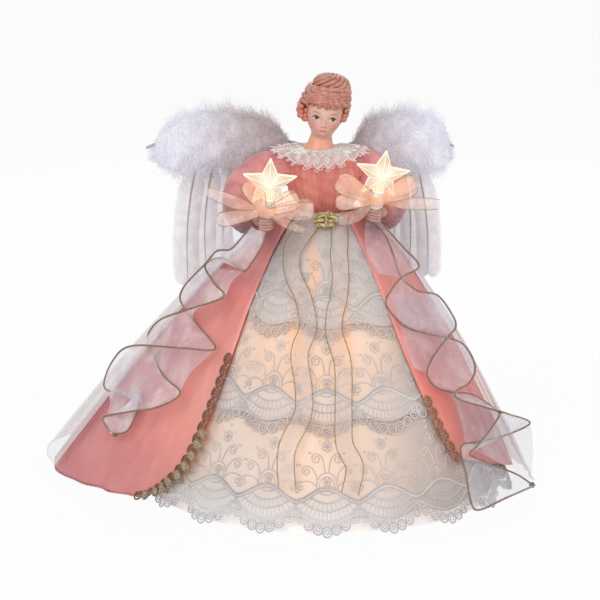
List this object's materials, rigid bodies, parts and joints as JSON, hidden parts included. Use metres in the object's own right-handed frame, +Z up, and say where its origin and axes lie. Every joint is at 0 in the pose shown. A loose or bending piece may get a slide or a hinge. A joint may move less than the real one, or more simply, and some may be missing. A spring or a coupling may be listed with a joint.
{
  "type": "angel tree topper",
  "caption": "Lit angel tree topper: doll with feather wings, star lamps in both hands, pink satin gown open over tiered lace, sheer twisted mantles and a cone that sits on a tree tip.",
  "frame": {"origin": "middle of the footprint at the foot of the carrier cone", "axes": "+Z up, the figure faces -Y, +X to the viewer's right"},
  "size_m": [0.3805, 0.2905, 0.305],
  "materials": {
    "white_plastic": "moulded white plastic, satin",
    "cream_satin": "cream satin cloth, lit from inside",
    "white_lace": "white lace and tulle",
    "pink_satin": "pink satin cloth",
    "bronze_gimp": "looped metallic braid, dull bronze",
    "organza": "sheer white organza with gold corded edges",
    "ribbon": "sheer ribbon with thin gold edges",
    "gold_rosette": "rolled gold braid",
    "painted_porcelain": "painted porcelain, satin",
    "painted_hands": "painted moulded plastic, satin",
    "steel_wire": "drawn wire",
    "lamp_glass": "clear glass, lit warm white",
    "star_plastic": "clear faceted plastic, lit from inside",
    "marabou": "fluffy white down",
    "feather": "white feather with a pale brown quill",
    "lead_covering": "white plastic-covered twin lead"
  },
  "bodies": {
    "root": {"skirt_cone": "white_plastic", "bust_form": "white_plastic", "wing_plate": "white_plastic", "lamp_holder_left": "white_plastic", "lamp_holder_right": "white_plastic", "skirt_lamp_holder_1": "white_plastic", "skirt_lamp_holder_2": "white_plastic", "skirt_lamp_holder_3": "white_plastic", "skirt_lamp_holder_4": "white_plastic", "skirt_lamp_holder_5": "white_plastic", "skirt_lamp_holder_6": "white_plastic", "skirt_lamp_holder_7": "white_plastic", "skirt_lamp_holder_8": "white_plastic", "underskirt": "cream_satin", "lace_tier_lower": "white_lace", "lace_tier_middle": "white_lace", "lace_tier_upper": "white_lace", "lace_collar": "white_lace", "overskirt": "pink_satin", "bodice": "pink_satin", "sleeve_left": "pink_satin", "sleeve_right": "pink_satin", "gimp_braid_left": "bronze_gimp", "gimp_braid_right": "bronze_gimp", "organza_train": "organza", "mantle_left": "organza", "mantle_right": "organza", "ribbon_streamer_left": "ribbon", "ribbon_streamer_right": "ribbon", "hand_bow_left": "ribbon", "hand_bow_right": "ribbon", "waist_rosette": "gold_rosette", "head": "painted_porcelain", "hand_left": "painted_hands", "hand_right": "painted_hands", "arm_wire_left": "steel_wire", "arm_wire_right": "steel_wire", "lamp_wiring": "lead_covering"},
    "wing_left": {"wing_wire_left": "steel_wire", "wing_down_left": "marabou", "wing_feather_left_1": "feather", "wing_feather_left_2": "feather", "wing_feather_left_3": "feather"},
    "bulb_left": {"star_bulb_left": "lamp_glass"},
    "star_left": {"star_cover_left": "star_plastic"},
    "wing_right": {"wing_wire_right": "steel_wire", "wing_down_right": "marabou", "wing_feather_right_1": "feather", "wing_feather_right_2": "feather", "wing_feather_right_3": "feather"},
    "bulb_right": {"star_bulb_right": "lamp_glass"},
    "star_right": {"star_cover_right": "star_plastic"},
    "skirt_bulb_1": {"skirt_lamp_bulb_1": "lamp_glass"},
    "skirt_bulb_2": {"skirt_lamp_bulb_2": "lamp_glass"},
    "skirt_bulb_3": {"skirt_lamp_bulb_3": "lamp_glass"},
    "skirt_bulb_4": {"skirt_lamp_bulb_4": "lamp_glass"},
    "skirt_bulb_5": {"skirt_lamp_bulb_5": "lamp_glass"},
    "skirt_bulb_6": {"skirt_lamp_bulb_6": "lamp_glass"},
    "skirt_bulb_7": {"skirt_lamp_bulb_7": "lamp_glass"},
    "skirt_bulb_8": {"skirt_lamp_bulb_8": "lamp_glass"}
  },
  "joints": [
    {"name": "wing_left_fold", "type": "hinge", "parent": "root", "child": "wing_left", "pos_m": [0.0225, 0.03104, 0.235], "axis": [0, 0, -1], "range_deg": [0, 40]},
    {"name": "bulb_left_pull", "type": "slide", "parent": "root", "child": "bulb_left", "axis": [0.0523, -0.3741, 0.9259], "range_m": [0, 0.02]},
    {"name": "star_left_lift", "type": "slide", "parent": "bulb_left", "child": "star_left", "axis": [0.0523, -0.3741, 0.9259], "range_m": [0, 0.03]},
    {"name": "wing_right_fold", "type": "hinge", "parent": "root", "child": "wing_right", "pos_m": [0.0465, 0.03104, 0.235], "axis": [0, 0, 1], "range_deg": [0, 40]},
    {"name": "bulb_right_pull", "type": "slide", "parent": "root", "child": "bulb_right", "axis": [0.1564, -0.37, 0.9158], "range_m": [0, 0.02]},
    {"name": "star_right_lift", "type": "slide", "parent": "bulb_right", "child": "star_right", "axis": [0.1564, -0.37, 0.9158], "range_m": [0, 0.03]},
    {"name": "skirt_bulb_1_pull", "type": "slide", "parent": "root", "child": "skirt_bulb_1", "axis": [0.7131, 0.4985, -0.493], "range_m": [0, 0.018]},
    {"name": "skirt_bulb_2_pull", "type": "slide", "parent": "root", "child": "skirt_bulb_2", "axis": [0.1189, 0.8723, -0.4744], "range_m": [0, 0.018]},
    {"name": "skirt_bulb_3_pull", "type": "slide", "parent": "root", "child": "skirt_bulb_3", "axis": [-0.6094, 0.6574, -0.4433], "range_m": [0, 0.018]},
    {"name": "skirt_bulb_4_pull", "type": "slide", "parent": "root", "child": "skirt_bulb_4", "axis": [-0.8485, -0.363, -0.3851], "range_m": [0, 0.018]},
    {"name": "skirt_bulb_5_pull", "type": "slide", "parent": "root", "child": "skirt_bulb_5", "axis": [0.6444, -0.6287, -0.4352], "range_m": [0, 0.018]},
    {"name": "skirt_bulb_6_pull", "type": "slide", "parent": "root", "child": "skirt_bulb_6", "axis": [0.618, 0.5788, -0.532], "range_m": [0, 0.018]},
    {"name": "skirt_bulb_7_pull", "type": "slide", "parent": "root", "child": "skirt_bulb_7", "axis": [-0.3904, 0.7509, -0.5327], "range_m": [0, 0.018]},
    {"name": "skirt_bulb_8_pull", "type": "slide", "parent": "root", "child": "skirt_bulb_8", "axis": [0.0076, -0.8897, -0.4564], "range_m": [0, 0.018]}
  ]
}
